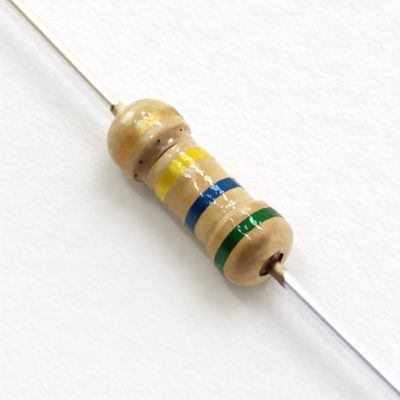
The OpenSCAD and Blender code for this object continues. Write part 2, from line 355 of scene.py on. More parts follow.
def bulge(length, end_radius, shoulder_radius, fillet_radius, sleeve):
    """Outline of one bulge from the wire to the waist: each point is (distance from the end, radius)."""
    crown = (length / 2, BULGE_RADIUS - CROWN_RADIUS)
    bend = shoulder_radius + fillet_radius
    first = touching(shoulder_radius, length - shoulder_radius, crown)
    lean = WAIST_RADIUS + fillet_radius - first[1]
    end = touching(end_radius, end_radius, crown)
    run = shoulder_radius / bend * math.sqrt(bend ** 2 - lean ** 2)
    shoulder = touching(shoulder_radius, length - run, crown)
    rise = WAIST_RADIUS + fillet_radius - shoulder[1]
    fillet = (shoulder[0] + math.sqrt(bend ** 2 - rise ** 2), WAIST_RADIUS + fillet_radius)
    if sleeve:
        points, start = drawn_out(end, end_radius)
    else:
        points, start = stretch((0, LEAD_RADIUS), (0, end[1]))[:-1], math.pi
    points += arc(end, end_radius, start, direction(crown, end))[:-1]
    points += arc(crown, CROWN_RADIUS, direction(crown, end), direction(crown, shoulder))[:-1]
    points += arc(shoulder, shoulder_radius, direction(crown, shoulder), direction(shoulder, fillet))[:-1]
    turned = direction(fillet, shoulder)
    points += arc(fillet, fillet_radius, turned if turned < 0 else turned - 2 * math.pi, -math.pi / 2)
    return points


def swell(along):
    """How far the swells and hollows of the waist move the outline at this place."""
    return sum(height * math.cos(math.pi / 2 * min(1, abs(along - place) / half)) ** 2
               for place, half, height in SWELLS)


def coat_outline():
    """Outer outline of the coat, from the wire at the front to the wire at the rear, as (x, radius)."""
    front = [(HALF_BODY - along, radius) for along, radius in bulge(*FRONT_BULGE, sleeve=False)]
    rear = [(along - HALF_BODY, radius) for along, radius in bulge(*REAR_BULGE, sleeve=True)]
    rear.reverse()
    waist = stretch(front[-1], rear[0])[1:-1]
    return [(x, radius + swell(x)) for x, radius in front + waist + rear]


def inner_outline():
    """Inner side of the coat, over the caps and the film, from the rear wire back to the front wire."""
    corner = (CAP_FACE - CAP_CORNER, CAP_RADIUS - CAP_CORNER)
    half = [(CAP_FACE, LEAD_RADIUS), *arc(corner, CAP_CORNER, 0, math.pi / 2),
            (CAP_MOUTH, CAP_RADIUS), (CAP_MOUTH, FILM_RADIUS)]
    rear = [(-x, r) for x, r in half]
    return rear + half[::-1]


def inner_radius(along):
    """Radius of the inner side of the coat at this place."""
    along = abs(along)
    if along > CAP_FACE + ON_SURFACE:
        return LEAD_RADIUS
    if along < CAP_MOUTH - ON_SURFACE:
        return FILM_RADIUS
    into_corner = min(max(0, along - CAP_FACE + CAP_CORNER), CAP_CORNER)
    return CAP_RADIUS - CAP_CORNER + math.sqrt(CAP_CORNER ** 2 - into_corner ** 2)


def spun(name, outline):
    """Draws a closed outline by extruding one vertex along it, and spins it round the axis of the body."""
    nothing_selected()
    x, radius = outline[0]
    bpy.ops.mesh.primitive_plane_add(size=0.01, location=(x, 0, AXIS + radius))
    piece = named(name)
    bpy.ops.object.transform_apply(location=True)
    edit_all(piece)
    bpy.ops.mesh.merge(type="CENTER")
    for (x0, r0), (x1, r1) in zip(outline, outline[1:]):
        bpy.ops.mesh.extrude_region_move(TRANSFORM_OT_translate={"value": (x1 - x0, 0, r1 - r0)})
    pick(bmesh.from_edit_mesh(piece.data), lambda vertex: len(vertex.link_edges) == 1)
    bpy.ops.mesh.edge_face_add()
    bpy.ops.mesh.select_all(action="SELECT")
    bpy.ops.mesh.spin(steps=ROUND_STEPS, angle=2 * math.pi, center=(0, 0, AXIS), axis=(1, 0, 0))
    bpy.ops.mesh.select_all(action="SELECT")
    bpy.ops.mesh.remove_doubles(threshold=SAME_CORNER)
    bpy.ops.mesh.normals_make_consistent(inside=False)
    object_mode()
    return piece


def body_radius(along):
    """Radius of the smooth coat at this place."""
    outline = coat_outline()
    return min(outline, key=lambda point: abs(point[0] - along))[1]


# ---------------------------------------------------------------- coat

def on_outside(vertex):
    """True for a vertex on the outer side of the coat."""
    return out_from_axis(vertex.co) > inner_radius(vertex.co.x) + SLIVER


def near_wire(vertex):
    """True for a vertex of the thin lacquer on or beside a wire."""
    return out_from_axis(vertex.co) < 0.5


def uneven_coat():
    """The dipped coat with its sags and orange peel, before the front end is broken."""
    coat = spun("coat", coat_outline() + inner_outline())
    grouped(coat, "outside", on_outside)
    grouped(coat, "outside", lambda vertex: on_outside(vertex) and near_wire(vertex), 0.2)
    modify(coat, "DISPLACE", texture=clouds("sags", 1.1), strength=0.04, mid_level=0.79,
           vertex_group="outside")
    modify(coat, "DISPLACE", texture=clouds("peel", 0.3), strength=0.042, mid_level=0.74,
           vertex_group="outside")
    return coat


def chip_lobe(turn, offset, radius):
    """A ragged plug that widens outwards, for breaking one lobe of the hole."""
    nothing_selected()
    turn = math.radians(turn)
    depth, behind_face = 1.2, 0.03
    place = (CAP_FACE - behind_face + depth / 2, offset * math.sin(turn), AXIS - offset * math.cos(turn))
    bpy.ops.mesh.primitive_cylinder_add(vertices=64, radius=radius, depth=depth, location=place,
                                        rotation=(0, math.pi / 2, 0))
    plug = named("plug")
    bpy.ops.object.transform_apply(location=True, rotation=True)
    edit_all(plug)
    bpy.ops.mesh.subdivide(number_cuts=7)
    mouth = HALF_BODY + 0.1
    pick(bmesh.from_edit_mesh(plug.data), lambda vertex: vertex.co.x > mouth)
    bpy.ops.transform.resize(value=(1, 1.2, 1.2), center_override=place)
    object_mode()
    modify(plug, "DISPLACE", texture=clouds("ragged", 0.2, 2), strength=0.09, mid_level=0.5)
    return plug


def break_front_end(coat):
    """Breaks the hole round the front lead into the coat, and clears the slivers that the cuts leave."""
    for lobe in CHIP:
        cut(coat, chip_lobe(*lobe))
    behind, around = CAP_FACE - HAIR, 1.0
    healed(coat, lambda vertex: vertex.co.x > behind and out_from_axis(vertex.co) < around)


def slanted_end():
    """Middle of the slanted end of the front sleeve, and the direction that the end faces."""
    short, long = FRONT_SLEEVE
    slant = math.atan((long - short) / (2 * LEAD_RADIUS))
    side = round_axis(SHORT_TURN, math.sin(slant)) - Vector((0, 0, AXIS))
    return Vector(((short + long) / 2, 0, AXIS)), Vector((math.cos(slant), side.y, side.z))


def front_sleeve():
    """Resin at the bottom of the hole, drawn out along the front lead and ended on the slant."""
    back, tip, bore = CAP_FACE + HAIR, FRONT_SLEEVE[1], LEAD_RADIUS - HAIR
    foot = FOOT_HEIGHT + FOOT_FILLET
    near = LEAD_RADIUS + SLEEVE_WALL
    outline = stretch((back, FOOT_RADIUS), (FOOT_HEIGHT, FOOT_RADIUS))[:-1]
    outline += stretch((FOOT_HEIGHT, FOOT_RADIUS), (FOOT_HEIGHT, near + FOOT_FILLET))[:-1]
    outline += arc((foot, near + FOOT_FILLET), FOOT_FILLET, -math.pi, -math.pi / 2)[:-1]
    outline += stretch((foot, near), (tip, LEAD_RADIUS + FEATHER))
    sleeve = spun("front_sleeve", outline + [(tip, bore), (back, bore)])
    middle, way = slanted_end()
    edit_all(sleeve)
    bpy.ops.mesh.bisect(plane_co=middle, plane_no=way, use_fill=True, clear_outer=True)
    object_mode()
    grouped(sleeve, "outside", lambda vertex: out_from_axis(vertex.co) > LEAD_RADIUS + ON_SURFACE)
    modify(sleeve, "DISPLACE", texture=clouds("sleeve", 0.25, 2), strength=0.05, mid_level=0.6,
           vertex_group="outside")
    return sleeve


def tongue():
    """The bridge of lacquer across the hole, from the sleeve to the rim."""
    nothing_selected()
    height, width, reach = TONGUE_SIZE
    middle = round_axis(180 - TONGUE_TURN, LEAD_RADIUS + reach / 2, CAP_FACE + height / 2)
    bpy.ops.mesh.primitive_cube_add(size=1, location=middle, scale=(height, width, reach))
    bridge = named("tongue")
    bpy.ops.object.transform_apply(location=True, scale=True)
    edit_all(bridge)
    bpy.ops.transform.rotate(value=math.radians(180 - TONGUE_TURN), orient_axis="X", center_override=middle)
    bpy.ops.mesh.subdivide(number_cuts=9)
    object_mode()
    modify(bridge, "DISPLACE", texture=clouds("bridge", 0.22, 2), strength=0.12, mid_level=0.6)
    return bridge


# ---------------------------------------------------------------- bands and specks

def band(coat, name, margin):
    """A strip of paint lifted from the coat between the edges of its CAD band."""
    rear, front = band_edges("band_" + name)
    strip = copy_of(coat, name + "_paint")
    edit(strip)
    for place, side in ((rear - margin, -1), (front + margin, 1)):
        bpy.ops.mesh.select_all(action="SELECT")
        bpy.ops.mesh.bisect(plane_co=(place, 0, 0), plane_no=(side, 0, 0), clear_outer=True)
    mesh = bmesh.from_edit_mesh(strip.data)
    pick(mesh, lambda vertex: not on_outside(vertex))
    bpy.ops.mesh.delete(type="VERT")
    object_mode()
    thickness = PAINT + PAINT_SUNK
    modify(strip, "SOLIDIFY", thickness=thickness, offset=(PAINT - PAINT_SUNK) / thickness,
           use_even_offset=True)
    return strip


def specks():
    """Small beads of resin half sunk in the rear shoulder."""
    beads = []
    for along, turn, radius in SPECKS:
        nothing_selected()
        place = round_axis(turn, body_radius(along) - SPECK_SUNK * radius, along)
        bpy.ops.mesh.primitive_uv_sphere_add(segments=20, ring_count=12, radius=radius, location=place)
        beads.append(named("speck"))
        bpy.ops.object.transform_apply(location=True)
    beads = joined(beads, "specks")
    modify(beads, "DISPLACE", texture=clouds("bead", 0.08), strength=0.02, mid_level=0.5)
    return beads


# ---------------------------------------------------------------- shader nodes

class Graph:
    """Short ways to add and join nodes in one node tree."""

    def __init__(self, tree):
        self.nodes = tree.nodes
        self.links = tree.links

    def put(self, value, socket):
        """Gives a socket a constant or a link."""
        if isinstance(value, bpy.types.NodeSocket):
            self.links.new(value, socket)
        elif socket.type == "RGBA" and len(value) == 3:
            socket.default_value = (*value, 1)
        else:
            socket.default_value = value

    def maths(self, operation, *values):
        """One step of arithmetic on numbers or sockets."""
        node = self.nodes.new("ShaderNodeMath")
        node.operation = operation
        for value, socket in zip(values, node.inputs):
            self.put(value, socket)
        return node.outputs["Value"]

    def stretched(self, vector, factors):
        """A vector multiplied part by part."""
        node = self.nodes.new("ShaderNodeVectorMath")
        node.operation = "MULTIPLY"
        self.put(vector, node.inputs[0])
        self.put(factors, node.inputs[1])
        return node.outputs["Vector"]

    def along_direction(self, vector, direction):
        """How far a point lies along a direction."""
        node = self.nodes.new("ShaderNodeVectorMath")
        node.operation = "DOT_PRODUCT"
        self.put(vector, node.inputs[0])
        self.put(direction, node.inputs[1])
        return node.outputs["Value"]

    def parts(self, vector):
        """The three parts of a vector."""
        node = self.nodes.new("ShaderNodeSeparateXYZ")
        self.put(vector, node.inputs["Vector"])
        return node.outputs

    def noise(self, vector, size, detail=2.0, roughness=0.5):
        """Noise from 0 to 1 with features of the given size in millimetres."""
        node = self.nodes.new("ShaderNodeTexNoise")
        self.put(vector, node.inputs["Vector"])
        self.put(self.maths("DIVIDE", 1.0, size) if isinstance(size, bpy.types.NodeSocket) else 1.0 / size,
                 node.inputs["Scale"])
        self.put(detail, node.inputs["Detail"])
        self.put(roughness, node.inputs["Roughness"])
        return node.outputs["Fac"]

    def step(self, value, low, high):
        """A soft step from 0 at low to 1 at high."""
        node = self.nodes.new("ShaderNodeMapRange")
        node.interpolation_type = "SMOOTHSTEP"
        for name, part in (("Value", value), ("From Min", low), ("From Max", high)):
            self.put(part, node.inputs[name])
        return node.outputs["Result"]

    def mix(self, share, first, second):
        """A colour between two colours."""
        node = self.nodes.new("ShaderNodeMix")
        node.data_type = "RGBA"
        for name, part in (("Factor_Float", share), ("A_Color", first), ("B_Color", second)):
            socket = next(s for s in node.inputs if s.identifier == name)
            self.put(part, socket)
        return next(s for s in node.outputs if s.identifier == "Result_Color")

    def along_ramp(self, value, stops):
        """A colour that changes along the body, given as (millimetres, colour) stops."""
        low, high = stops[0][0], stops[-1][0]
        ramp = self.nodes.new("ShaderNodeValToRGB")
        self.put(self.maths("DIVIDE", self.maths("SUBTRACT", value, low), high - low), ramp.inputs["Fac"])
        points = ramp.color_ramp.elements
        while len(points) < len(stops):
            points.new(0.5)
        for point, (place, colour) in zip(points, stops):
            point.position = (place - low) / (high - low)
            point.color = (*colour, 1)
        return ramp.outputs["Color"]

    def shared(self, name, **values):
        """An instance of a shared node group; a name's underscores stand for spaces."""
        node = self.nodes.new("ShaderNodeGroup")
        node.node_tree = bpy.data.node_groups[name]
        for label, value in values.items():
            self.put(value, node.inputs[label.replace("_", " ")])
        return node.outputs

    def around(self, place):
        """Where a place lies along the body, round it and out from its axis."""
        found = self.shared("around_axis", Place=place)
        return found["Along"], found["Turn"], found["Out"]

    def mottled(self, place, colour, shade, size, amount):
        """A colour shaded in soft clouds, with features of the given size in millimetres."""
        return self.shared("mottling", Place=place, Colour=colour, Shade=shade, Size=size,
                           Amount=amount)["Colour"]

    def patch(self, place, along, turn, spot, raggedness):
        """Mask of a patch. A spot is its middle and half length along, and its middle and half turn."""
        middle, half, middle_turn, half_turn = spot
        return self.shared("patch", Place=place, Along=along, Turn=turn, Middle=middle, Half_Length=half,
                           Middle_Turn=middle_turn, Half_Turn=half_turn, Raggedness=raggedness)["Mask"]

    def with_patches(self, colour, place, along, turn, patches):
        """A colour with patches in it, which are stains, painted shade and painted highlights, each given
        as its spot, its colour, strength and raggedness.
        """
        for *spot, patch_colour, strength, raggedness in patches:
            mask = self.patch(place, along, turn, spot, raggedness)
            colour = self.mix(self.maths("MULTIPLY", mask, strength), colour, patch_colour)
        return colour


def new_group(name, inputs, outputs):
    """Starts a shared node group. Gives its graph, its inputs and its output node."""
    kinds = {"float": "NodeSocketFloat", "vector": "NodeSocketVector", "colour": "NodeSocketColor"}
    tree = bpy.data.node_groups.new(name, "ShaderNodeTree")
    for side, sockets in (("INPUT", inputs), ("OUTPUT", outputs)):
        for label, kind in sockets.items():
            tree.interface.new_socket(label, in_out=side, socket_type=kinds[kind])
    return Graph(tree), tree.nodes.new("NodeGroupInput").outputs, tree.nodes.new("NodeGroupOutput").inputs


def make_around_axis():
    """Where a point lies on the body: along it, turned round it from straight up, and out from its axis."""
    graph, given, result = new_group("around_axis", {"Place": "vector"},
                                     {"Along": "float", "Turn": "float", "Out": "float"})
    x, y, z = graph.parts(given["Place"])
    rise = graph.maths("SUBTRACT", z, AXIS)
    graph.put(x, result["Along"])
    graph.put(graph.maths("DEGREES", graph.maths("ARCTAN2", y, rise)), result["Turn"])
    squares = graph.maths("ADD", graph.maths("MULTIPLY", y, y), graph.maths("MULTIPLY", rise, rise))
    graph.put(graph.maths("SQRT", squares), result["Out"])


def make_patch():
    """A soft, ragged patch: 1 in the middle, 0 past its half length along and its half turn round."""
    graph, given, result = new_group(
        "patch", {"Place": "vector", "Along": "float", "Turn": "float", "Middle": "float",
                  "Half Length": "float", "Middle Turn": "float", "Half Turn": "float",
                  "Raggedness": "float"}, {"Mask": "float"})

    def share(value, middle, half):
        off = graph.maths("DIVIDE", graph.maths("SUBTRACT", value, middle), half)
        return graph.maths("MULTIPLY", off, off)

    off = graph.maths("SQRT", graph.maths(
        "ADD", share(given["Along"], given["Middle"], given["Half Length"]),
        share(given["Turn"], given["Middle Turn"], given["Half Turn"])))
    wander = graph.maths("MULTIPLY", graph.maths("SUBTRACT", graph.noise(given["Place"], 0.3, 3.0), 0.5),
                         given["Raggedness"])
    graph.put(graph.step(graph.maths("ADD", off, wander), 1.0, 0.35), result["Mask"])


def make_mottling():
    """A colour shaded in soft clouds of the given size."""
    graph, given, result = new_group(
        "mottling", {"Place": "vector", "Colour": "colour", "Shade": "colour", "Size": "float",
                     "Amount": "float"}, {"Colour": "colour"})
    cloud = graph.step(graph.noise(given["Place"], given["Size"], 3.0, 0.55), 0.38, 0.66)
    graph.put(graph.mix(graph.maths("MULTIPLY", cloud, given["Amount"]), given["Colour"], given["Shade"]),
              result["Colour"])


def make_orange_peel():
    """Height of a dipped or brushed surface: soft dimples with finer grain on them."""
    graph, given, result = new_group("orange_peel", {"Place": "vector", "Size": "float", "Grain": "float"},
                                     {"Height": "float"})
    dimples = graph.noise(given["Place"], given["Size"], 1.0)
    grain = graph.noise(given["Place"], graph.maths("MULTIPLY", given["Size"], 0.3), 2.0)
    graph.put(graph.maths("ADD", dimples, graph.maths("MULTIPLY", grain, given["Grain"])), result["Height"])


def make_brushed_edges():
    """Cover of a painted band: 1 between its two edges, fading and wandering at each."""
    graph, given, result = new_group(
        "brushed_edges", {"Place": "vector", "Along": "float", "Rear": "float", "Front": "float",
                          "Softness": "float", "Raggedness": "float"}, {"Cover": "float"})
    slow = graph.maths("SUBTRACT", graph.noise(given["Place"], 0.9, 1.0), 0.5)
    quick = graph.maths("SUBTRACT", graph.noise(given["Place"], 0.16, 2.0), 0.5)
    wander = graph.maths("MULTIPLY", graph.maths("ADD", slow, graph.maths("MULTIPLY", quick, 0.7)),
                         given["Raggedness"])
    place = graph.maths("ADD", given["Along"], wander)
    rear = graph.step(place, graph.maths("SUBTRACT", given["Rear"], given["Softness"]),
                      graph.maths("ADD", given["Rear"], given["Softness"]))
    front = graph.step(place, graph.maths("ADD", given["Front"], given["Softness"]),
                       graph.maths("SUBTRACT", given["Front"], given["Softness"]))
    graph.put(graph.maths("MULTIPLY", rear, front), result["Cover"])


def new_material(name):
    """A new material: its graph, its Principled shader and its place in millimetres."""
    material = bpy.data.materials.new(name)
    material.use_nodes = True
    graph = Graph(material.node_tree)
    where = graph.nodes.new("ShaderNodeTexCoord")
    place = graph.stretched(where.outputs["Object"], (1 / MM, 1 / MM, 1 / MM))
    return material, graph, graph.nodes["Principled BSDF"].inputs, place


def peeled(graph, bsdf, place, size, grain, depth):
    """Gives a surface dimples of this size and depth in millimetres, with finer grain on them."""
    height = graph.shared("orange_peel", Place=place, Size=size, Grain=grain)["Height"]
    bump = graph.nodes.new("ShaderNodeBump")
    graph.put(depth * MM, bump.inputs["Distance"])
    graph.put(height, bump.inputs["Height"])
    graph.put(bump.outputs["Normal"], bsdf["Normal"])


# ---------------------------------------------------------------- materials

# Colour of the lacquer along the body. It is darker in the crease behind the rear shoulder, where it is
# thick brown lacquer and painted shade, and on the front end, where it is a painted dark reflection. Where
# it is broken in the hole it is dark red, with painted shadow in its pockets
LACQUER_TONES_SHADE_AND_REFLECTION = [
    (-5.2, (0.98, 0.76, 0.50)), (-4.6, (0.86, 0.66, 0.42)), (-4.2, (0.52, 0.40, 0.21)),
    (-3.4, (0.55, 0.43, 0.21)), (-2.3, (0.53, 0.40, 0.18)), (-2.19, (0.50, 0.36, 0.16)),
    (-2.12, (0.27, 0.15, 0.06)), (-1.8, (0.30, 0.17, 0.075)), (-1.62, (0.52, 0.38, 0.20)),
    (-1.5, (0.58, 0.44, 0.25)), (-1.1, (0.58, 0.42, 0.21)), (0.0, (0.56, 0.39, 0.16)),
    (2.05, (0.64, 0.49, 0.27)), (2.6, (0.49, 0.33, 0.14)), (3.6, (0.52, 0.36, 0.155)),
    (4.05, (0.45, 0.30, 0.13)), (4.45, (0.56, 0.42, 0.22)),
]
HOLE_WALL_AND_SHADOW_TONE = (0.07, 0.016, 0.010)

# Stains and painted light in the lacquer: middle and half length along, middle and half turn round, colour,
# strength and raggedness. The first one is painted shade that browns the whole side turned from the light.
# The dark ones round the rear shoulder and its groove are painted shade in the crease, and the dark one on
# the front end is a painted reflection. The pale ones are painted highlights, and the lighter ones ease the
# painted shade in places. The others are stains, such as the brown mark on the rear lead
LACQUER_STAINS_AND_PAINTED_LIGHT = [
    (0.0, 40.0, -66, 52, (0.41, 0.245, 0.07), 0.66, 0.25),
    (-4.1, 0.7, -62, 42, (0.58, 0.44, 0.24), 0.5, 0.3),
    (-1.90, 0.40, 62, 52, (0.58, 0.42, 0.20), 0.8, 0.3),
    (-1.92, 0.36, -44, 60, (0.19, 0.105, 0.045), 0.72, 0.7),
    (-1.68, 0.17, -50, 48, (0.22, 0.13, 0.06), 0.7, 0.5),
    (-1.56, 0.065, -16, 38, (0.05, 0.03, 0.02), 0.75, 0.9),
    (-1.32, 0.20, -26, 44, (0.76, 0.61, 0.40), 0.6, 0.6),
    (1.72, 0.45, -45, 52, (0.60, 0.44, 0.20), 0.6, 0.5),
    (-2.0, 0.16, 14, 22, (0.42, 0.22, 0.10), 0.5, 0.9),
    (4.1, 0.52, -32, 52, (0.20, 0.10, 0.035), 0.72, 0.35),
    (3.95, 0.6, 50, 26, (0.58, 0.47, 0.28), 0.5, 0.5),
    (3.72, 0.32, -9, 22, (0.42, 0.25, 0.08), 0.4, 0.6),
    (-2.42, 0.2, -6, 26, (0.90, 0.84, 0.72), 0.32, 1.8),
    (-2.9, 0.26, -14, 15, (0.94, 0.91, 0.84), 0.75, 1.3),
    (-3.65, 0.26, -17, 14, (0.90, 0.86, 0.78), 0.6, 1.3),
    (2.6, 0.25, 6, 15, (0.92, 0.87, 0.74), 0.4, 1.4),
    (3.75, 0.22, 5, 16, (0.88, 0.80, 0.62), 0.15, 1.6),
    (-0.35, 0.55, -4, 24, (0.80, 0.70, 0.55), 0.5, 1.8),
    (-0.1, 0.35, -28, 20, (0.38, 0.21, 0.08), 0.45, 1.4),
    (-5.02, 0.17, -50, 40, (0.14, 0.075, 0.03), 0.85, 0.8),
]

# Where the rear shoulder is dry and dull: a spot without colour
DRY_SPOT = (-1.95, 0.25, -45, 70)

# Soft limits, each from where nothing shows to where all of it shows: how far the hole reaches from the
# axis, how the lacquer begins on the rear lead, how far the tongue reaches from the axis and in degrees
# from its middle, how the lacquer ends on the front lead, and how gold is worn on each side, in degrees
HOLE_REACH = (0.78, 0.70)
REAR_START = (-4.92, -4.55)
TONGUE_FOOT = (0.34, 0.42)
TONGUE_SPREAD = (45.0, 30.0)
FRONT_END = (-0.22, 0.06)
GOLD_WEAR = ((-125, -45), (175, 110))

# Colour of the lacquer on the front lead along it, darkest at the lead's base in the hole, where it is
# painted shade. Its pale top is a painted highlight, and it has a painted dark base and a brown underside,
# each given like the patches in the lacquer. Last comes the colour of the tongue
SLEEVE_TONES_AND_SHADE = [(4.3, (0.34, 0.19, 0.125)), (4.42, (0.22, 0.115, 0.065)), (4.55, (0.05, 0.025, 0.014)),
                (4.75, (0.20, 0.12, 0.055)), (5.4, (0.34, 0.22, 0.13))]
SLEEVE_STAINS_AND_PAINTED_LIGHT = [
    (4.98, 0.42, 22, 62, (0.85, 0.72, 0.42), 0.95, 0.4),
    (4.62, 0.12, -30, 60, (0.03, 0.015, 0.008), 0.7, 0.4),
    (5.15, 0.2, -88, 40, (0.32, 0.14, 0.10), 0.6, 0.4),
]
TONGUE_TONE = (0.32, 0.17, 0.06)

# The paints: colour, shade, tint of the shine and the blotch list. A blotch is its middle and half turn
# round, its colour and its strength. The dark ones on the side turned from the light are painted shade, and
# the pale ones near the top are painted highlights. Green has a coarser peel, and the edges of yellow and
# gold fade more
PAINTS = {
    "green": {
        "colour": (0.002, 0.10, 0.015), "shade": (0.001, 0.04, 0.005), "sheen": (0.7, 1.0, 0.88),
        "blotches_and_painted_light": [(-36, 40, (0.0006, 0.022, 0.002), 0.7), (8, 26, (0.004, 0.16, 0.035), 0.7),
                     (-22, 15, (0.003, 0.13, 0.03), 0.5)],
        "dimple": 0.3,
    },
    "blue": {
        "colour": (0.002, 0.06, 0.18), "shade": (0.001, 0.02, 0.07), "sheen": (0.7, 0.93, 1.0),
        "blotches_and_painted_light": [(-42, 40, (0.0008, 0.014, 0.04), 0.6), (8, 24, (0.003, 0.10, 0.25), 0.7),
                     (-21, 15, (0.003, 0.09, 0.26), 0.55)],
    },
    "yellow": {
        "colour": (0.68, 0.50, 0.005), "shade": (0.52, 0.36, 0.003), "sheen": (1.0, 1.0, 0.8),
        "blotches_and_painted_light": [(-38, 34, (0.44, 0.27, 0.002), 0.8), (-20, 15, (0.84, 0.74, 0.10), 0.6)],
        "softness": 0.06, "raggedness": 0.16,
    },
    "gold": {
        "colour": (0.86, 0.66, 0.26), "shade": (0.74, 0.48, 0.12), "sheen": (1.0, 0.95, 0.8),
        "blotches_and_painted_light": [(-48, 54, (0.58, 0.31, 0.085), 0.95), (42, 40, (0.50, 0.33, 0.11), 0.85),
                     (68, 32, (0.38, 0.25, 0.09), 0.9), (-2, 27, (0.90, 0.76, 0.30), 0.65),
                     (-38, 15, (0.36, 0.17, 0.04), 0.55)],
        "softness": 0.08, "raggedness": 0.22,
    },
}
GOLD_BINDER = (0.30, 0.13, 0.03)


def lacquer():
    """Beige dipped lacquer with stains, painted shade and painted highlights along it, dark red with
    painted shadow in the hole, and faded out on the rear lead.
    """
    material, graph, bsdf, place = new_material("lacquer")
    along, turn, out = graph.around(place)
    colour = graph.along_ramp(along, LACQUER_TONES_SHADE_AND_REFLECTION)
    colour = graph.mottled(place, colour, (0.46, 0.27, 0.11), size=1.1, amount=0.22)
    colour = graph.mottled(place, colour, (0.80, 0.66, 0.46), size=0.4, amount=0.16)
    colour = graph.with_patches(colour, place, along, turn, LACQUER_STAINS_AND_PAINTED_LIGHT)
    # The broken wall in the hole is dark red, with painted shadow in its pockets
    inside = graph.maths("MULTIPLY", graph.step(along, HALF_BODY - 0.03, HALF_BODY - 0.07),
                         graph.step(along, CAP_FACE - 0.05, CAP_FACE))
    broken = graph.maths("MULTIPLY", inside, graph.step(out, *HOLE_REACH))
    graph.put(graph.mix(broken, colour, HOLE_WALL_AND_SHADOW_TONE), bsdf["Base Color"])
    wander = graph.maths("MULTIPLY", graph.noise(place, 0.25, 2.0), 0.5)
    graph.put(graph.step(graph.maths("ADD", along, wander), *REAR_START), bsdf["Alpha"])
    dry = graph.patch(place, along, turn, DRY_SPOT, 0.3)
    gloss = graph.maths("SUBTRACT", 0.12, graph.maths("MULTIPLY", graph.step(along, -2.6, -1.4), 0.05))
    graph.put(graph.maths("ADD", gloss, graph.maths("MULTIPLY", dry, 0.35)), bsdf["Roughness"])
    graph.put(0.6, bsdf["Specular IOR Level"])
    graph.put(0.45, bsdf["Subsurface Weight"])
    graph.put((1.0, 0.45, 0.15), bsdf["Subsurface Radius"])
    graph.put(0.5 * MM, bsdf["Subsurface Scale"])
    peeled(graph, bsdf, place, size=0.24, grain=0.2, depth=0.02)
    return material


def sleeve_lacquer():
    """Lacquer on the front lead: brown in the hole and under the lead, with painted shade at its base and a
    painted highlight on top, worn at its end.
    """
    material, graph, bsdf, place = new_material("sleeve_lacquer")
    along, turn, out = graph.around(place)
    colour = graph.along_ramp(along, SLEEVE_TONES_AND_SHADE)
    colour = graph.with_patches(colour, place, along, turn, SLEEVE_STAINS_AND_PAINTED_LIGHT)
    off_tongue = graph.maths("ABSOLUTE", graph.maths("SUBTRACT", turn, 180.0 - TONGUE_TURN))
    bridge = graph.maths("MULTIPLY", graph.step(out, *TONGUE_FOOT), graph.step(off_tongue, *TONGUE_SPREAD))
    colour = graph.mix(bridge, colour, TONGUE_TONE)
    colour = graph.mottled(place, colour, (0.18, 0.08, 0.04), size=0.15, amount=0.25)
    graph.put(colour, bsdf["Base Color"])
    graph.put(0.3, bsdf["Roughness"])
    middle, way = slanted_end()
    short = graph.maths("SUBTRACT", middle.dot(way), graph.along_direction(place, way))
    wander = graph.maths("MULTIPLY", graph.noise(place, 0.2, 3.0), 0.3)
    graph.put(graph.step(graph.maths("SUBTRACT", short, wander), *FRONT_END), bsdf["Alpha"])
    peeled(graph, bsdf, place, size=0.15, grain=0.4, depth=0.02)
    return material


def paint(name, colour, shade, sheen, blotches_and_painted_light, softness=0.03, raggedness=0.06, dimple=0.16):
    """Brushed paint of one colour band, given as in PAINTS: its material, graph, shader and place."""
    material, graph, bsdf, place = new_material(name + "_paint")
    along, turn, _ = graph.around(place)
    rear, front = band_edges("band_" + name)
    tone = graph.mottled(place, colour, shade, size=0.4, amount=0.6)
    middle, half, blotch_raggedness = (rear + front) / 2, 0.55, 0.4
    tone = graph.with_patches(tone, place, along, turn,
                         [(middle, half, *tone_patch, blotch_raggedness) for tone_patch in blotches_and_painted_light])
    graph.put(tone, bsdf["Base Color"])
    graph.put(0.05, bsdf["Roughness"])
    graph.put(0.6, bsdf["Specular IOR Level"])
    graph.put(sheen, bsdf["Specular Tint"])
    cover = graph.shared("brushed_edges", Place=place, Along=along, Rear=rear, Front=front,
                         Softness=softness, Raggedness=raggedness)["Cover"]
    graph.put(cover, bsdf["Alpha"])
    peeled(graph, bsdf, place, size=dimple, grain=0.15, depth=0.125 * dimple)
    return material, graph, bsdf, place


def gold():
    """Gold paint: fine flakes in a clear binder, thin, browned on the side turned from the light by painted
    shade, lit along its top by a painted highlight, and worn at the sides.
    """
    material, graph, bsdf, place = paint("gold", **PAINTS["gold"])
    flakes = graph.step(graph.noise(place, 0.06, 3.0, 0.6), 0.36, 0.62)
    colour = bsdf["Base Color"].links[0].from_socket
    graph.put(graph.mix(flakes, graph.mix(0.5, colour, GOLD_BINDER), colour), bsdf["Base Color"])
    graph.put(graph.maths("MULTIPLY", flakes, 0.2), bsdf["Metallic"])
    graph.put(0.34, bsdf["Roughness"])
    graph.put(0.35, bsdf["Specular IOR Level"])
    cover = bsdf["Alpha"].links[0].from_socket
    cloud = graph.step(graph.noise(place, 0.2, 3.0, 0.6), 0.34, 0.6)
    thin = graph.maths("ADD", 0.55, graph.maths("MULTIPLY", 0.4, cloud))
    _, turn, _ = graph.around(place)
    wear = graph.maths("MULTIPLY", *(graph.step(turn, *side) for side in GOLD_WEAR))
    graph.put(graph.maths("MULTIPLY", cover, graph.maths("MULTIPLY", thin, wear)), bsdf["Alpha"])
    return material


def tinned_wire(name, colour, shade):
    """Tinned copper wire with drawing lines along it."""
    material, graph, bsdf, place = new_material(name)
    lines = graph.stretched(place, (0.06, 1, 1))
    graph.put(graph.mottled(lines, colour, shade, size=0.12, amount=0.5), bsdf["Base Color"])
    graph.put(0.75, bsdf["Metallic"])
    graph.put(graph.maths("ADD", 0.3, graph.maths("MULTIPLY", graph.noise(place, 0.5, 3.0), 0.12)),
              bsdf["Roughness"])
    peeled(graph, bsdf, lines, size=0.1, grain=0.5, depth=0.004)
    return material


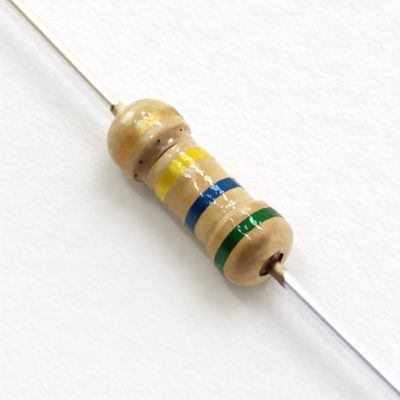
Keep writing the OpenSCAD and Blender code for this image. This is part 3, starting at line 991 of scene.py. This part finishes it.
def plated_cap(name, colour, shade, metallic):
    """Pressed steel cap, bright or browned by the resin that ran over it."""
    material, graph, bsdf, place = new_material(name)
    graph.put(graph.mottled(place, colour, shade, size=0.22, amount=0.9), bsdf["Base Color"])
    graph.put(metallic, bsdf["Metallic"])
    graph.put(0.38, bsdf["Roughness"])
    peeled(graph, bsdf, place, size=0.12, grain=0.6, depth=0.02)
    return material


def dull(name, colour, shade, size, roughness, depth):
    """A dull mottled material: ceramic, carbon, resin or paper."""
    material, graph, bsdf, place = new_material(name)
    graph.put(graph.mottled(place, colour, shade, size, amount=0.7), bsdf["Base Color"])
    graph.put(roughness, bsdf["Roughness"])
    peeled(graph, bsdf, place, size, grain=0.8, depth=depth)
    return material


def dress(name, material):
    """Gives a CAD node its material."""
    NODES[name].data.materials.clear()
    NODES[name].data.materials.append(material)


def resistor():
    """Makes the pieces, finishes them and dresses the CAD nodes that stay."""
    for make in (make_around_axis, make_patch, make_mottling, make_orange_peel, make_brushed_edges):
        make()
    coating = lacquer()
    coat = uneven_coat()
    bands = {name: band(coat, name, margin) for name, margin in BAND_MARGINS.items()}
    break_front_end(coat)
    sleeve = joined([front_sleeve(), tongue()], "front_sleeve")
    finished(coat, coating)
    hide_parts("lacquer_coat")
    finished(sleeve, sleeve_lacquer())
    resin = dull("maroon_resin", (0.10, 0.012, 0.01), (0.03, 0.006, 0.005), 0.05, 0.15, 0.004)
    finished(specks(), resin)
    for name, strip in bands.items():
        colour = gold() if name == "gold" else paint(name, **PAINTS[name])[0]
        finished(strip, colour)
        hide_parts("band_" + name)
        # The lacquer shows evenly lit through the thin edges of the paint
        strip.visible_shadow = False
        strip.visible_diffuse = False
    # Both wires are the same tinned copper: the bluish tint of the front one and the warm tint of the rear
    # one are painted reflections
    dress("lead_front", tinned_wire("tinned_wire_front", (0.90, 0.90, 0.98), (0.76, 0.76, 0.93)))
    dress("lead_rear", tinned_wire("tinned_wire_rear", (0.90, 0.86, 0.76), (0.84, 0.79, 0.66)))
    dress("end_cap_front", plated_cap("browned_cap", (0.45, 0.28, 0.25), (0.20, 0.08, 0.075), 0.1))
    dress("end_cap_rear", plated_cap("bright_cap", (0.70, 0.69, 0.66), (0.50, 0.49, 0.47), 1.0))
    dress("ceramic_core", dull("ceramic", (0.82, 0.80, 0.76), (0.70, 0.67, 0.62), 0.3, 0.7, 0.004))
    dress("carbon_film", dull("carbon", (0.035, 0.034, 0.033), (0.015, 0.015, 0.015), 0.2, 0.5, 0.003))


# ---------------------------------------------------------------- floor, light and camera

CAMERA_AZIMUTH = 49.45
CAMERA_ELEVATION = 60.42
CAMERA_DISTANCE = 100
CAMERA_TARGET = Vector((0.457, -0.221, 1.65))
CAMERA_LENS = 228
CAMERA_SENSOR = 36
CAMERA_NEAR, CAMERA_FAR = 0.005, 20

# The lights stand this far off, in metres. Each has a direction, a length along X, a width and a power
LIGHT_DISTANCE = 0.6
KEY = (Vector((-0.42, 0.467, 0.778)), 0.28, 0.085, 1.15)
SOFT_KEY = (Vector((-0.12, 0.50, 0.85)), 0.34, 0.3, 1.05)
SECOND = (Vector((-0.36, -0.14, 0.906)), 0.28, 0.035, 0.45)
WHITE = (1.0, 1.0, 1.0)

# Brightness before and after the camera's tone curve
TONE_CURVE = [(0, 0), (0.03, 0.008), (0.1, 0.055), (0.2, 0.15), (0.4, 0.38), (0.7, 0.73), (1, 1)]

# Soft brightness of the studio round the body: angle from straight up, direction round Z, sharpness and
# strength of each glow, on top of an even base
STUDIO = [(0, 0, 8, 0.80), (35, 90, 8, 0.75), (70, 180, 8, 0.6), (85, 180, 10, 3.5), (85, 135, 10, 0.9),
          (85, 90, 10, 1.0), (85, 45, 10, 2.2), (85, 0, 10, 1.7), (85, 315, 10, 0.35), (85, 270, 10, 0.35),
          (85, 225, 10, 0.15)]
STUDIO_BASE = 0.12

# The studio is a little warm and the soft lamp a little cool, which gives a warm shadow on a white floor
STUDIO_COLOUR = (1.015, 1.0, 0.935)
SOFT_KEY_COLOUR = (0.94, 1.0, 1.2)


def polar(tilt, turn):
    """Unit vector tilted from straight up, in a direction round Z, both in degrees."""
    tilt, turn = math.radians(tilt), math.radians(turn)
    return Vector((math.sin(tilt) * math.cos(turn), math.sin(tilt) * math.sin(turn), math.cos(tilt)))


def area_light(name, settings, colour=WHITE):
    """A rectangular light that looks at the origin, with its long side as near to X as that allows."""
    way, length, width, power = settings
    way = way.normalized()
    nothing_selected()
    bpy.ops.object.light_add(type="AREA")
    light = bpy.context.object
    light.name = name
    along = (Vector((1, 0, 0)) - way * way.x).normalized()
    turn = Matrix((along, way.cross(along), way)).transposed().to_quaternion()
    light.matrix_world = Matrix.LocRotScale(way * LIGHT_DISTANCE, turn, None)
    light.data.shape = "RECTANGLE"
    light.data.size = length
    light.data.size_y = width
    light.data.energy = power
    light.data.color = colour
    return light


def world():
    """A studio that is brighter towards each of the STUDIO directions."""
    studio = bpy.data.worlds.new("studio")
    bpy.context.scene.world = studio
    studio.use_nodes = True
    graph = Graph(studio.node_tree)
    background = graph.nodes["Background"].inputs
    graph.put(STUDIO_COLOUR, background["Color"])
    way = graph.nodes.new("ShaderNodeTexCoord").outputs["Generated"]
    total = STUDIO_BASE
    for tilt, turn, sharpness, strength in STUDIO:
        facing = graph.maths("MAXIMUM", graph.along_direction(way, polar(tilt, turn)), 0.0)
        glow = graph.maths("MULTIPLY", graph.maths("POWER", facing, float(sharpness)), float(strength))
        total = graph.maths("ADD", glow, total)
    graph.put(total, background["Strength"])


def develop():
    """Gives the picture a camera's tone curve, with deep darks and soft lights."""
    view = bpy.context.scene.view_settings
    view.view_transform = "Standard"
    view.use_curve_mapping = True
    # The fourth curve is for the three colours together
    curve = view.curve_mapping.curves[3]
    curve.points[-1].location = TONE_CURVE[-1]
    for place in TONE_CURVE[1:-1]:
        curve.points.new(*place)
    view.curve_mapping.update()


def stage():
    """A plain pale floor under soft studio light."""
    nothing_selected()
    bpy.ops.mesh.primitive_plane_add(size=6, location=(0, 0, 0))
    floor = named("floor")
    floor.data.materials.append(dull("paper", (0.86, 0.86, 0.865), (0.84, 0.84, 0.845), 0.9, 0.85, 0.045))
    world()
    # The key makes the highlights, and a softer lamp near it makes the shadow
    area_light("key", KEY).visible_diffuse = False
    area_light("soft_key", SOFT_KEY, SOFT_KEY_COLOUR).visible_glossy = False
    area_light("second", SECOND)


def camera():
    """The camera, turned and tilted round its target."""
    azimuth, elevation = math.radians(CAMERA_AZIMUTH), math.radians(CAMERA_ELEVATION)
    right = Vector((math.cos(azimuth), math.sin(azimuth), 0))
    level = Vector((math.sin(azimuth), -math.cos(azimuth), 0))
    back = math.cos(elevation) * level + Vector((0, 0, math.sin(elevation)))
    turn = Matrix((right, back.cross(right), back)).transposed().to_quaternion()
    nothing_selected()
    bpy.ops.object.camera_add()
    eye = bpy.context.object
    eye.name = "camera"
    eye.matrix_world = Matrix.LocRotScale((CAMERA_TARGET + CAMERA_DISTANCE * back) * MM, turn, None)
    eye.data.lens = CAMERA_LENS
    eye.data.sensor_width = CAMERA_SENSOR
    eye.data.clip_start = CAMERA_NEAR
    eye.data.clip_end = CAMERA_FAR
    bpy.context.scene.camera = eye


resistor()
stage()
camera()
develop()
